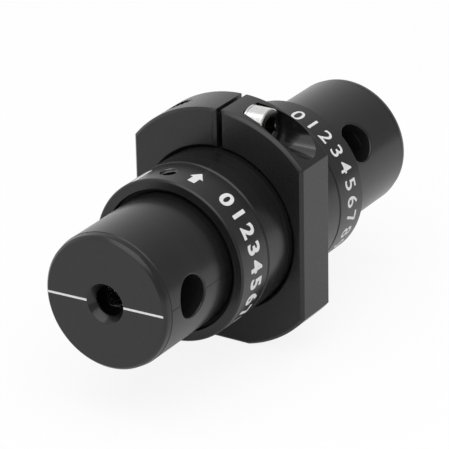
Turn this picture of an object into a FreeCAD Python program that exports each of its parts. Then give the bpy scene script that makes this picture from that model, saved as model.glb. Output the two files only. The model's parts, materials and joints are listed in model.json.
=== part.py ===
"""Free-space optical isolator, held by its tube in a split ring that screws onto a post.

Light travels along +Y. The frame's origin is the mouth of the post hole, in the middle of the
ring's bottom flat, and +Z points up from there to the optical axis. Sizes are in millimetres.

Every piece is first built round the Y axis, which stands for the optical axis, and is lifted to
the axis height when it is written. Pieces that both ends have are built for the output end, where
a length along the axis is a distance from the middle, and are mirrored for the input end.
"""

import FreeCAD, Part
import math
import os

# Split ring
axis_height = 21.9
ring_thickness = 9.6
ring_side_wall = 2.21
ring_chamfer = 0.55
slot_width = 0.95
slot_offset = 0.35

# Ring screw, which crosses the slot above the tube
ring_screw_cover = 1.42
ring_screw_head_radius = 3.43
ring_screw_head_length = 4.17
ring_screw_socket_flats = 3.57
ring_screw_socket_depth = 2.2
ring_screw_radius = 2.03
ring_screw_head_edge = 0.34
ring_screw_tip_edge = 0.4
ring_screw_length = 12.7
ring_screw_seat = 4.1
ring_screw_pocket_clearance = 0.62
ring_screw_pocket_floor = 0.42
ring_screw_hole_clearance = 0.2

# Post hole in the bottom flat
post_hole_radius = 2.08
post_hole_floor = 1.21
post_hole_countersink = 0.3

# Tube and the collars on its ends
tube_radius = 15.24
tube_half_length = 12.55
tube_wall = 2.34
tube_chamfer = 0.3
tube_thread_wall = 1.34
tube_thread_depth = 3.2
collar_length = 8.55
collar_wall = 2.69
collar_chamfer = 0.3
collar_web = 1.45
collar_mouth_gap = 0.85
collar_mouth_depth = 1.2

# Polarizer barrels and their end caps
barrel_wall = 2.1
barrel_clear_radius = 4.5
input_barrel_reach = 19.9
output_barrel_reach = 21.35
cap_land = 1.54
cap_chamfer = 0.52
cap_taper = 0.26
cap_spigot_length = 1.4
cap_thread_wall = 0.9
aperture_radius = 2.7
aperture_flare = 1.0
aperture_land = 0.17
port_radius = 3.7
port_edge_break = 0.4
input_barrel_angle = 4.0
output_barrel_angle = 34.0

# Engraved marks
mark_depth = 0.15
barrel_mark_width = 0.25
cap_mark_width = 0.42
cap_mark_gap = 0.25
input_cap_mark_angle = 1.3

# Set screws that lock the barrels
set_screw_radius = 1.6
set_screw_from_collar_end = 3.75
set_screw_recess = 0.89
set_screw_socket_flats = 1.59
set_screw_socket_depth = 1.1
set_screw_groove_depth = 0.5
set_screw_groove_play = 0.15
input_set_screw_angle = 97.2
output_set_screw_angle = 177.2

# Polarizing cubes and their holders
cube_size = 6.0
cube_recess = 0.25
holder_seat_wall = 1.75
holder_port_step = 0.1
holder_ring_length = 1.0
holder_ring_bore_radius = 5.2
holder_ring_notch_width = 1.4
holder_ring_notch_depth = 0.5
input_holder_from_cap = 1.16
output_holder_from_collar = 1.7

# Faraday rotator
crystal_margin = 0.3
crystal_length = 10.0
sleeve_wall = 0.85
sleeve_overhang = 1.0
middle_magnet_length = 7.0
shim_thickness = 0.6
magnet_edge_break = 0.3

# Clearances
running_clearance = 0.05
assembly_clearance = 0.03
end_play = 0.05

# Sizes of the split ring that follow from the ones above
ring_bore_radius = tube_radius + running_clearance
ring_half_width = ring_bore_radius + ring_side_wall
ring_screw_pocket_radius = ring_screw_head_radius + ring_screw_pocket_clearance
bore_height_at_seat = math.sqrt(ring_bore_radius ** 2 - ring_screw_seat ** 2)
ring_screw_height = bore_height_at_seat + ring_screw_pocket_floor + ring_screw_pocket_radius
ring_radius = ring_screw_height + ring_screw_radius + ring_screw_cover
post_hole_depth = axis_height - ring_bore_radius - post_hole_floor

# Radii that follow
tube_bore_radius = tube_radius - tube_wall
tube_thread_radius = tube_radius - tube_thread_wall
barrel_radius = tube_radius - collar_wall - running_clearance
collar_mouth_radius = barrel_radius + collar_mouth_gap
barrel_bore_radius = barrel_radius - barrel_wall
holder_port_radius = port_radius - holder_port_step
aperture_mouth_radius = aperture_radius + aperture_flare
cap_face_radius = barrel_radius - cap_taper - cap_chamfer
set_screw_tip = barrel_radius - set_screw_groove_depth + running_clearance
set_screw_outer_end = tube_radius - set_screw_recess
crystal_radius = aperture_radius + crystal_margin
sleeve_bore_radius = crystal_radius + assembly_clearance
sleeve_radius = sleeve_bore_radius + sleeve_wall
sleeve_seat_radius = sleeve_radius + assembly_clearance

# Distances from the middle that follow
collar_inner_end = tube_half_length - tube_thread_depth
collar_seat = tube_half_length + collar_web
collar_end = tube_half_length + collar_length
set_screw_distance = collar_end - set_screw_from_collar_end
input_face = collar_end + input_barrel_reach
output_face = collar_end + output_barrel_reach
barrel_inner_end = collar_seat + end_play
aperture_mouth_depth = cap_land - aperture_land
cube_half = cube_size / 2
input_holder_end = input_face - cap_land - cap_spigot_length - input_holder_from_cap - holder_ring_length
input_port_distance = input_holder_end - cube_recess - cube_half
output_port_distance = collar_end + output_holder_from_collar + holder_seat_wall + cube_half
sleeve_half_length = collar_inner_end + sleeve_overhang
magnet_stack_half = collar_inner_end - shim_thickness

ORIGIN = FreeCAD.Vector(0, 0, 0)
AXIS_X = FreeCAD.Vector(1, 0, 0)
AXIS_Y = FreeCAD.Vector(0, 1, 0)
AXIS_Z = FreeCAD.Vector(0, 0, 1)


def revolved(profile):
    """Solid turned round the optical axis from corners given as (radius, distance along it)."""
    corners = [FreeCAD.Vector(radius, y, 0) for radius, y in profile]
    outline = Part.makePolygon(corners + corners[:1])
    return Part.Face(outline).revolve(ORIGIN, AXIS_Y, 360)


def ring_blank(inner, outer, start, end):
    """Plain ring round the optical axis between two distances along it."""
    return revolved([(inner, start), (outer, start), (outer, end), (inner, end)])


def rod_along_x(radius, start, end, height=0, y=0):
    """Round rod along X between two places on that axis."""
    foot = FreeCAD.Vector(start, y, height)
    return Part.makeCylinder(radius, end - start, foot, AXIS_X)


def block(x_range, y_range, z_range):
    """Box between two limits along each axis."""
    size = [high - low for low, high in (x_range, y_range, z_range)]
    corner = FreeCAD.Vector(x_range[0], y_range[0], z_range[0])
    return Part.makeBox(size[0], size[1], size[2], corner)


def hexagon_along_x(flats, start, end):
    """Six-sided bar along X, measured across its flats."""
    circumradius = flats / math.sqrt(3)
    corners = []
    for step in range(7):
        turn = math.radians(60 * step)
        corners.append(FreeCAD.Vector(start, circumradius * math.cos(turn), circumradius * math.sin(turn)))
    face = Part.Face(Part.makePolygon(corners))
    return face.extrude(FreeCAD.Vector(end - start, 0, 0))


def rolled(shape, angle):
    """Shape rolled about the optical axis, so that what points along +X rises by the angle."""
    moved = shape.copy()
    moved.rotate(ORIGIN, AXIS_Y, -angle)
    return moved


def output_end(shape):
    """A piece at the output end, where it was built."""
    return shape


def input_end(shape):
    """The same piece at the input end."""
    return shape.mirror(ORIGIN, AXIS_Y)


def split_ring():
    """Flatted ring, split at the top, with the screw's pocket, its thread and the post hole."""
    half = ring_thickness / 2
    disc = ring_blank(ring_bore_radius, ring_radius, -half, half)
    keep = block((-ring_half_width, ring_half_width), (-half, half), (-axis_height, ring_radius))
    slot_side = slot_width / 2
    slot = block((slot_offset - slot_side, slot_offset + slot_side), (-half, half), (0, ring_radius + 1))
    ring = disc.common(keep).cut(slot)
    face_edges = [
        edge for edge in ring.Edges if all(abs(abs(vertex.Y) - half) < 1e-6 for vertex in edge.Vertexes)
    ]
    ring = ring.makeChamfer(ring_chamfer, face_edges)

    pocket = rod_along_x(ring_screw_pocket_radius, ring_screw_seat, ring_radius, ring_screw_height)
    clearance_radius = ring_screw_radius + ring_screw_hole_clearance
    clearance_hole = rod_along_x(clearance_radius, slot_offset, ring_screw_seat, ring_screw_height)
    thread_radius = ring_screw_radius + running_clearance
    thread = rod_along_x(thread_radius, -ring_radius, slot_offset, ring_screw_height)

    mouth = FreeCAD.Vector(0, 0, -axis_height)
    post_hole = Part.makeCylinder(post_hole_radius, post_hole_depth, mouth, AXIS_Z)
    countersink = Part.makeCone(
        post_hole_radius + post_hole_countersink, post_hole_radius, post_hole_countersink, mouth, AXIS_Z
    )
    return ring.cut(Part.makeCompound([pocket, clearance_hole, thread])).cut(post_hole).cut(countersink)


def ring_screw():
    """Cap screw with a hexagon socket, its head on the pocket's floor."""
    head_end = ring_screw_seat + ring_screw_head_length
    tip = ring_screw_seat - ring_screw_length
    profile = [
        (0, tip),
        (ring_screw_radius - ring_screw_tip_edge, tip),
        (ring_screw_radius, tip + ring_screw_tip_edge),
        (ring_screw_radius, ring_screw_seat),
        (ring_screw_head_radius, ring_screw_seat),
        (ring_screw_head_radius, head_end - ring_screw_head_edge),
        (ring_screw_head_radius - ring_screw_head_edge, head_end),
        (0, head_end),
    ]
    screw = revolved(profile)
    screw.rotate(ORIGIN, AXIS_Z, -90)
    socket = hexagon_along_x(ring_screw_socket_flats, head_end - ring_screw_socket_depth, head_end)
    screw = screw.cut(socket)
    screw.translate(FreeCAD.Vector(0, 0, ring_screw_height))
    return screw


def magnet_tube():
    """Middle tube, bored for the magnets and counterbored at both ends for the collars."""
    thread_start = tube_half_length - tube_thread_depth
    return revolved([
        (tube_bore_radius, -thread_start),
        (tube_thread_radius, -thread_start),
        (tube_thread_radius, -tube_half_length),
        (tube_radius - tube_chamfer, -tube_half_length),
        (tube_radius, tube_chamfer - tube_half_length),
        (tube_radius, tube_half_length - tube_chamfer),
        (tube_radius - tube_chamfer, tube_half_length),
        (tube_thread_radius, tube_half_length),
        (tube_thread_radius, thread_start),
        (tube_bore_radius, thread_start),
    ])


def collar(screw_angle):
    """Collar screwed into the tube's end: it seats the barrel and holds the set screw."""
    spigot_radius = tube_thread_radius - assembly_clearance
    bearing_radius = barrel_radius + running_clearance
    body = revolved([
        (sleeve_seat_radius, collar_inner_end),
        (spigot_radius, collar_inner_end),
        (spigot_radius, tube_half_length),
        (tube_radius - collar_chamfer, tube_half_length),
        (tube_radius, tube_half_length + collar_chamfer),
        (tube_radius, collar_end - collar_chamfer),
        (tube_radius - collar_chamfer, collar_end),
        (collar_mouth_radius, collar_end),
        (collar_mouth_radius, collar_end - collar_mouth_depth),
        (bearing_radius, collar_end - collar_mouth_depth),
        (bearing_radius, collar_seat),
        (sleeve_seat_radius, collar_seat),
    ])
    hole_radius = set_screw_radius + running_clearance
    hole = rod_along_x(hole_radius, set_screw_tip, tube_radius + 1, y=set_screw_distance)
    return body.cut(rolled(hole, screw_angle))


def set_screw(screw_angle):
    """Headless screw with a hexagon socket, its tip over the groove in the barrel."""
    screw = rod_along_x(set_screw_radius, set_screw_tip, set_screw_outer_end)
    socket_floor = set_screw_outer_end - set_screw_socket_depth
    socket = hexagon_along_x(set_screw_socket_flats, socket_floor, set_screw_outer_end)
    screw = screw.cut(socket)
    screw.translate(FreeCAD.Vector(0, set_screw_distance, 0))
    return rolled(screw, screw_angle)


def barrel(port_distance, face, angle):
    """Polarizer barrel: groove for the set screw and side port, bored for the cube."""
    barrel_end = face - cap_land
    groove_half = set_screw_radius + set_screw_groove_play
    groove_radius = barrel_radius - set_screw_groove_depth
    shoulder = port_distance - cube_half - holder_seat_wall
    body = revolved([
        (barrel_clear_radius, barrel_inner_end),
        (barrel_radius, barrel_inner_end),
        (barrel_radius, set_screw_distance - groove_half),
        (groove_radius, set_screw_distance - groove_half),
        (groove_radius, set_screw_distance + groove_half),
        (barrel_radius, set_screw_distance + groove_half),
        (barrel_radius, barrel_end),
        (barrel_bore_radius, barrel_end),
        (barrel_bore_radius, shoulder),
        (barrel_clear_radius, shoulder),
    ])
    port = rod_along_x(port_radius, 0, barrel_radius + 1, y=port_distance)
    body = body.cut(port)
    rim = [edge for edge in body.Edges if lies_on_port_rim(edge, port_distance)]
    return rolled(body.makeChamfer(port_edge_break, rim), angle)


def barrel_line(face, angle):
    """Cutter for the line engraved along a barrel, through the middle of its port."""
    half = barrel_mark_width / 2
    line = block((barrel_radius - mark_depth, barrel_radius), (collar_end, face - cap_land), (-half, half))
    return rolled(line, angle)


def lies_on_port_rim(edge, port_distance):
    """Whether an edge is part of the port's outer rim, on the barrel's round surface."""
    first, last = edge.ParameterRange
    for share in (0.1, 0.5, 0.9):
        point = edge.valueAt(first + share * (last - first))
        from_port = math.hypot(point.y - port_distance, point.z)
        from_axis = math.hypot(point.x, point.z)
        if abs(from_port - port_radius) > 0.01 or abs(from_axis - barrel_radius) > 0.01:
            return False
    return True


def end_cap(face, mark_angle):
    """Screwed-in cap with a countersunk aperture and an engraved line across its face."""
    barrel_end = face - cap_land
    spigot_radius = barrel_bore_radius - assembly_clearance
    cap = revolved([
        (aperture_radius, face - aperture_mouth_depth),
        (aperture_mouth_radius, face),
        (cap_face_radius, face),
        (barrel_radius - cap_taper, face - cap_chamfer),
        (barrel_radius, barrel_end),
        (spigot_radius, barrel_end),
        (spigot_radius, barrel_end - cap_spigot_length),
        (spigot_radius - cap_thread_wall, barrel_end - cap_spigot_length),
        (spigot_radius - cap_thread_wall, barrel_end),
        (aperture_radius, barrel_end),
    ])
    mark_half = cap_mark_width / 2
    floor = face - mark_depth
    for side in (-1, 1):
        limits = sorted((side * (aperture_mouth_radius + cap_mark_gap), side * cap_face_radius))
        mark = block(limits, (floor, face), (-mark_half, mark_half))
        cap = cap.cut(mark)
    return rolled(cap, mark_angle)


def cube_holder(port_distance, angle):
    """Round insert with a square pocket for the cube and a port for the rejected beam."""
    start = port_distance - cube_half - holder_seat_wall
    end = port_distance + cube_half + cube_recess
    body = ring_blank(aperture_radius, barrel_bore_radius - assembly_clearance, start, end)
    side = cube_half + assembly_clearance
    pocket = block((-side, side), (port_distance - cube_half, end), (-side, side))
    port = rod_along_x(holder_port_radius, 0, barrel_bore_radius, y=port_distance)
    return rolled(body.cut(pocket).cut(port), angle)


def cube_prism(port_distance, angle, side):
    """One of the two right-angle prisms that meet at the cube's polarizing diagonal."""
    near = port_distance - side * cube_half
    far = port_distance + side * cube_half
    corners = [
        FreeCAD.Vector(cube_half, near, -cube_half),
        FreeCAD.Vector(-cube_half, near, -cube_half),
        FreeCAD.Vector(-side * cube_half, far, -cube_half),
    ]
    face = Part.Face(Part.makePolygon(corners + corners[:1]))
    return rolled(face.extrude(FreeCAD.Vector(0, 0, cube_size)), angle)


def holder_ring(port_distance, angle):
    """Threaded ring with two spanner notches that keeps the cube's holder in the barrel."""
    start = port_distance + cube_half + cube_recess
    end = start + holder_ring_length
    outer = barrel_bore_radius - assembly_clearance
    ring = ring_blank(holder_ring_bore_radius, outer, start, end)
    half = holder_ring_notch_width / 2
    notches = block((-outer, outer), (end - holder_ring_notch_depth, end), (-half, half))
    return rolled(ring.cut(notches), angle)


def magnet(start, end):
    """Ring magnet with broken edges, in the tube's bore and round the crystal's sleeve."""
    inner = sleeve_seat_radius
    outer = tube_bore_radius - assembly_clearance
    edge = magnet_edge_break
    return revolved([
        (inner + edge, start),
        (outer - edge, start),
        (outer, start + edge),
        (outer, end - edge),
        (outer - edge, end),
        (inner + edge, end),
        (inner, end - edge),
        (inner, start + edge),
    ])


def shims():
    """Washers that fill the tube between the outer magnets and the collars."""
    outer = tube_bore_radius - assembly_clearance
    washer = ring_blank(sleeve_seat_radius, outer, magnet_stack_half, collar_inner_end)
    return Part.makeCompound([washer, input_end(washer)])


def crystal_sleeve():
    """Thin tube that carries the crystal inside the magnets."""
    return ring_blank(sleeve_bore_radius, sleeve_radius, -sleeve_half_length, sleeve_half_length)


def rotator_crystal():
    """Polished rod that turns the light's polarization in the magnets' field."""
    start = FreeCAD.Vector(0, -crystal_length / 2, 0)
    return Part.makeCylinder(crystal_radius, crystal_length, start, AXIS_Y)


def crystal_spacers():
    """Rings that keep the crystal in the middle of its sleeve."""
    outer = sleeve_bore_radius - assembly_clearance
    spacer = ring_blank(aperture_radius, outer, crystal_length / 2, sleeve_half_length)
    return Part.makeCompound([spacer, input_end(spacer)])


def pieces():
    """Every node of the isolator by name."""
    middle = middle_magnet_length / 2
    outer_magnet = magnet(middle, magnet_stack_half)
    nodes = {
        "clamp_ring": split_ring(),
        "clamp_screw": ring_screw(),
        "magnet_tube": magnet_tube(),
        "centre_magnet": magnet(-middle, middle),
        "output_magnet": outer_magnet,
        "input_magnet": input_end(outer_magnet),
        "magnet_shims": shims(),
        "crystal_sleeve": crystal_sleeve(),
        "rotator_crystal": rotator_crystal(),
        "crystal_spacers": crystal_spacers(),
    }
    screw_angles = {"input": input_set_screw_angle, "output": output_set_screw_angle}
    mark_angles = {"input": input_cap_mark_angle, "output": output_barrel_angle}
    ends = {
        "input": (input_port_distance, input_face, input_barrel_angle, input_end),
        "output": (output_port_distance, output_face, output_barrel_angle, output_end),
    }
    for end, (distance, face, angle, placed) in ends.items():
        nodes[f"{end}_collar"] = placed(collar(screw_angles[end]))
        nodes[f"{end}_set_screw"] = placed(set_screw(screw_angles[end]))
        nodes[f"{end}_barrel"] = placed(barrel(distance, face, angle))
        nodes[f"{end}_end_cap"] = placed(end_cap(face, mark_angles[end]))
        nodes[f"{end}_cube_holder"] = placed(cube_holder(distance, angle))
        nodes[f"{end}_cube_inner_prism"] = placed(cube_prism(distance, angle, 1))
        nodes[f"{end}_cube_outer_prism"] = placed(cube_prism(distance, angle, -1))
        nodes[f"{end}_holder_ring"] = placed(holder_ring(distance, angle))
    line = input_end(barrel_line(input_face, input_barrel_angle))
    nodes["input_barrel"] = nodes["input_barrel"].cut(line)
    return nodes


os.makedirs("parts", exist_ok=True)
for name, shape in pieces().items():
    shape.translate(FreeCAD.Vector(0, 0, axis_height))
    shape.exportStep(f"parts/{name}.step")
    print(name, "solids", len(shape.Solids), "volume", round(shape.Volume, 1), "valid", shape.isValid())
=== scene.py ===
# %% [markdown]
# # An optical isolator in its split ring
#
# An optical isolator is a one-way valve for laser light. A strong ring magnet in the middle turns the
# light's polarization, and a polarizing cube at each end blocks whatever comes back. The one in the
# photograph is turned from aluminium, anodised black, and held on a post by a split ring with a cap screw.
#
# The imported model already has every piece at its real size. This lesson gives the pieces their looks:
# rounded edges, threads, a knurl, print, and finishes that catch the light as the real ones do.

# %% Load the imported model
import json
import math

import bmesh
import bpy
from mathutils import Matrix, Vector


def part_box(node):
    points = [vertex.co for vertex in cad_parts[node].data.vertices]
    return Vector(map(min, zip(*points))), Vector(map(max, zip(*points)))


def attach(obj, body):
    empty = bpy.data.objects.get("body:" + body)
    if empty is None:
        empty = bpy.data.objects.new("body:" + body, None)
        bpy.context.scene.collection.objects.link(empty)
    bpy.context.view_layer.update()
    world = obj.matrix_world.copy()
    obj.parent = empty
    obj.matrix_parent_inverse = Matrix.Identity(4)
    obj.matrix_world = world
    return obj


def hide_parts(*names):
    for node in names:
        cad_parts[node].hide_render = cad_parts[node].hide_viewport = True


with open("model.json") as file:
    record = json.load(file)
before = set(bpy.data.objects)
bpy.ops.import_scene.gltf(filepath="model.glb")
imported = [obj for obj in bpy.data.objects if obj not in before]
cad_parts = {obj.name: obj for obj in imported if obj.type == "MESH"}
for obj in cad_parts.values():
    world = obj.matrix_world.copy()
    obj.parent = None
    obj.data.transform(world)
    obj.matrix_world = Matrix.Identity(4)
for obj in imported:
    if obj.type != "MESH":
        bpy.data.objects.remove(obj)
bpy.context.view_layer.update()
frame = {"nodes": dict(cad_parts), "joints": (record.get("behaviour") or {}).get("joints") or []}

# %% [markdown]
# ## Sizes come from the model
#
# A lathe part is easiest to think of as a radius and a distance along its axis. The isolator's optical
# axis runs along Y, at the height where its joint is, so the pieces are made round the Y axis, in
# millimetres, and are lifted there at the end. Two small functions read the radii and ends that other
# pieces must meet, so that nothing is typed twice.

# %% The optical axis, and what lies round it
MM = 0.001
joints = {row["name"]: row for row in frame["joints"]}
axis_height = joints["isolator_turn"]["pos_m"][2] / MM


def corners_of(node):
    """Lowest and highest corner of a node, in millimetres from the point of the axis above the post hole."""
    low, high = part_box(node)
    lift = Vector((0, 0, axis_height))
    return low / MM - lift, high / MM - lift


def radius_of(node):
    """How far a node reaches from the optical axis, in millimetres."""
    return max(math.hypot(v.co.x, v.co.z - axis_height * MM) for v in frame["nodes"][node].data.vertices) / MM


tube_radius = radius_of("magnet_tube")
tube_end = corners_of("magnet_tube")[1].y
collar_end = corners_of("output_collar")[1].y
barrel_radius = radius_of("output_barrel")
BARREL_ENDS = {"input": -corners_of("input_barrel")[0].y, "output": corners_of("output_barrel")[1].y}
FACES = {"input": -corners_of("input_end_cap")[0].y, "output": corners_of("output_end_cap")[1].y}
ring_radius = radius_of("clamp_ring")
ring_side = corners_of("clamp_ring")[1].x
ring_half = corners_of("clamp_ring")[1].y
RUNNING_FIT = 0.05
SNUG_FIT = 0.03
print("axis", round(axis_height, 3), "tube", round(tube_radius, 3), "barrel", round(barrel_radius, 3))
print("ends of tube and collar:", round(tube_end, 3), round(collar_end, 3), "faces:", FACES)

# %% [markdown]
# ## From an outline to a turned piece
#
# A lathe cuts one outline all the way round. Blender's spin operator does the same: it sweeps a wire round
# an axis. Real turned edges are never razor sharp, and a tiny round on each corner is what draws the thin
# bright lines in the photograph. Bevelling the outline's corners before the spin rounds every edge at once,
# which is cheaper and cleaner than bevelling the finished ring.

# %% Turning
STEPS = 240
EDGE_ROUND = 0.07


def turned(outline, rounding=EDGE_ROUND, steps=STEPS):
    """Solid spun round the Y axis from (radius, distance) corners. A third value is its own rounding."""
    solid = bmesh.new()
    points = [solid.verts.new((corner[0], corner[1], 0)) for corner in outline]
    for first, second in zip(points, points[1:] + points[:1]):
        solid.edges.new((first, second))
    offsets = [corner[2] if len(corner) > 2 else rounding for corner in outline]
    for offset in sorted(set(offsets) - {0}):
        corners = [point for point, own in zip(points, offsets) if own == offset and point.co.x > offset]
        bmesh.ops.bevel(solid, geom=corners, offset=offset, segments=3, affect="VERTICES",
                        profile=0.5, material=-1)
    bmesh.ops.spin(solid, geom=solid.verts[:] + solid.edges[:], cent=(0, 0, 0), axis=(0, 1, 0),
                   dvec=(0, 0, 0), angle=2 * math.pi, steps=steps, use_merge=True)
    bmesh.ops.remove_doubles(solid, verts=solid.verts, dist=1e-4)
    bmesh.ops.recalc_face_normals(solid, faces=solid.faces)
    return solid


def ring_band(inner, outer, start, end, rounding=EDGE_ROUND):
    """Plain turned ring between two radii and two distances."""
    return turned([(inner, start), (outer, start), (outer, end), (inner, end)], rounding)


sample = ring_band(10, 12, 0, 5)
print("a plain ring has", len(sample.faces), "faces")
sample.free()

# %% [markdown]
# ## Cutting holes
#
# Holes, pockets and slots are taken out with booleans, as a mill takes them out of the turned blank. The
# exact solver keeps the walls closed. It works on objects, so the helper makes short-lived ones and gives
# back a bmesh. The cutters are simple: a rod for a drill, a block for a saw, a six-sided rod for a key.

# %% Milling and drilling
def temporary(solid):
    """Short-lived object that holds a bmesh for a modifier to work on."""
    mesh = bpy.data.meshes.new("temporary")
    solid.to_mesh(mesh)
    solid.free()
    holder = bpy.data.objects.new("temporary", mesh)
    bpy.context.scene.collection.objects.link(holder)
    return holder


def evaluated(holder):
    """The bmesh of an object with its modifiers applied."""
    mesh = bpy.data.meshes.new_from_object(holder.evaluated_get(bpy.context.evaluated_depsgraph_get()))
    solid = bmesh.new()
    solid.from_mesh(mesh)
    bpy.data.meshes.remove(mesh)
    return solid


def combined(solid, others, operation):
    """The solid after a boolean with each of the others in turn."""
    holder = temporary(solid)
    helpers = [temporary(other) for other in others]
    for helper in helpers:
        modifier = holder.modifiers.new("boolean", "BOOLEAN")
        modifier.operation = operation
        modifier.solver = "EXACT"
        modifier.object = helper
    result = evaluated(holder)
    for used in [holder] + helpers:
        mesh = used.data
        bpy.data.objects.remove(used)
        bpy.data.meshes.remove(mesh)
    bmesh.ops.remove_doubles(result, verts=result.verts, dist=1e-4)
    bmesh.ops.dissolve_degenerate(result, edges=result.edges, dist=1e-4)
    return result


def cut(solid, *cutters):
    """The solid with the cutters taken out of it."""
    return combined(solid, cutters, "DIFFERENCE")


def joined(solid, *others):
    """The solid with the others added to it."""
    return combined(solid, others, "UNION")


def rod(radius, start, end, sides=96, end_radius=None):
    """Rod along the Y axis, or a cone where the end has another radius."""
    solid = bmesh.new()
    place = Matrix.Translation((0, (start + end) / 2, 0)) @ Matrix.Rotation(math.radians(-90), 4, "X")
    tip = radius if end_radius is None else end_radius
    bmesh.ops.create_cone(solid, cap_ends=True, segments=sides, radius1=radius, radius2=tip,
                          depth=end - start, matrix=place)
    return solid


def block(low, high):
    """Box between two corners."""
    solid = bmesh.new()
    low, high = Vector(low), Vector(high)
    bmesh.ops.create_cube(solid, size=1)
    bmesh.ops.scale(solid, vec=high - low, verts=solid.verts)
    bmesh.ops.translate(solid, vec=(low + high) / 2, verts=solid.verts)
    return solid


def hex_key(flats, start, end):
    """Six-sided rod along the Y axis, measured across its flats."""
    return rod(flats / math.sqrt(3), start, end, sides=6)


def pointed(solid, direction, centre=(0, 0, 0)):
    """Turns what runs along Y to run along another direction, and moves it to a centre."""
    turn = Vector((0, 1, 0)).rotation_difference(Vector(direction)).to_matrix().to_4x4()
    bmesh.ops.transform(solid, matrix=Matrix.Translation(centre) @ turn, verts=solid.verts)
    return solid


# %% [markdown]
# ## Threads
#
# A thread is one small profile swept along a helix. Spin makes that too when each step also moves a little
# along the axis, and because the profile is a closed face the sweep comes out as a closed solid. The same
# ridge, added to a core, is a screw, and taken out of a wall it is a tapped hole.

# %% Helical ridges
def ridge(core, crest, pitch, start, end, steps=40):
    """Closed helical ridge round the Y axis, from just inside the core radius to the crest radius."""
    solid = bmesh.new()
    root, top = 0.44 * pitch, 0.08 * pitch
    inside = core - 0.04
    profile = [(inside, -root), (core, -root), (crest, -top), (crest, top), (core, root), (inside, root)]
    face = solid.faces.new([solid.verts.new((radius, start + along, 0)) for radius, along in profile])
    turns = (end - start) / pitch
    bmesh.ops.spin(solid, geom=[face] + face.verts[:] + face.edges[:], cent=(0, 0, 0), axis=(0, 1, 0),
                   dvec=(0, pitch / steps, 0), angle=2 * math.pi * turns, steps=round(steps * turns))
    bmesh.ops.recalc_face_normals(solid, faces=solid.faces)
    return solid


def tapped(major, pitch, start, end):
    """Cutters for a tapped hole along the Y axis: the drill's rod and the tap's ridge."""
    minor = major - 0.6 * pitch
    return [rod(minor, start, end), ridge(minor, major, pitch, start, end)]


# %% [markdown]
# ## Both ends are alike
#
# The two ends carry the same pieces, so each is made once for the output end, where distances grow, and
# mirrored for the input end. Mirroring turns a mesh inside out, so its faces are reversed as well. Barrels
# are also rolled about the axis, because each one is turned to its own angle when the isolator is set up.

# %% Rolling, mirroring and handing over
def rolled(solid, angle):
    """Rolls a solid about the optical axis, so that what points along +X rises by the angle."""
    turn = Matrix.Rotation(math.radians(-angle), 3, "Y")
    bmesh.ops.rotate(solid, cent=(0, 0, 0), matrix=turn, verts=solid.verts)
    return solid


def at_end(solid, end):
    """A solid made for the output end, mirrored if it belongs to the input end."""
    if end == "input":
        bmesh.ops.scale(solid, vec=(1, -1, 1), verts=solid.verts)
        bmesh.ops.reverse_faces(solid, faces=solid.faces)
    return solid


def refinish(solid, chosen, number=1):
    """Gives another of the piece's finishes to the faces whose middle the test picks."""
    for face in solid.faces:
        if chosen(face.calc_center_median()):
            face.material_index = number
    return solid


def hand_over(solid, name, body, slot, *finishes, node=None, smooth=34):
    """Lifts a solid to the optical axis, makes it an object and gives it to the body it moves with."""
    lift = Matrix.Translation((0, 0, axis_height * MM)) @ Matrix.Scale(MM, 4)
    bmesh.ops.transform(solid, matrix=lift, verts=solid.verts)
    mesh = bpy.data.meshes.new(name)
    solid.to_mesh(mesh)
    solid.free()
    mesh.shade_smooth()
    mesh.set_sharp_from_angle(angle=math.radians(smooth))
    piece = bpy.data.objects.new(name, mesh)
    bpy.context.scene.collection.objects.link(piece)
    weighted = piece.modifiers.new("even shading", "WEIGHTED_NORMAL")
    weighted.keep_sharp = True
    for finish in finishes:
        mesh.materials.append(finish)
    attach(piece, body)
    if node:
        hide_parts(node)
    print(name, len(mesh.polygons), "faces")
    return piece


# %% [markdown]
# ## Finishes
#
# Black anodising is a hard glassy layer over dyed metal: nearly black by itself, with a soft sheen that
# shows whatever is around it. So its colour is very dark, its roughness middling, and the light does the
# rest. Two things keep it from looking like plastic. Turned pieces carry very fine rings from the tool,
# which follow the radius and the distance along the axis, and milled or blasted ones have a fine even
# grain. Both are worked out from object coordinates, so they sit in the same place on every piece.

# %% A small kit for materials
def add_node(tree, kind, **values):
    """Adds a shader node and sets its properties or its inputs by name."""
    made = tree.nodes.new("ShaderNode" + kind)
    for key, value in values.items():
        if hasattr(made, key):
            setattr(made, key, value)
        else:
            made.inputs[key.replace("_", " ")].default_value = value
    return made


def new_finish(name, base, metallic, ior=1.46):
    """Material with a Principled shader, whose even values are set on its own sockets."""
    material = bpy.data.materials.new(name)
    material.use_nodes = True
    shader = material.node_tree.nodes["Principled BSDF"]
    shader.inputs["Base Color"].default_value = (*base, 1)
    shader.inputs["Metallic"].default_value = metallic
    shader.inputs["IOR"].default_value = ior
    return material, material.node_tree, shader


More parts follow.
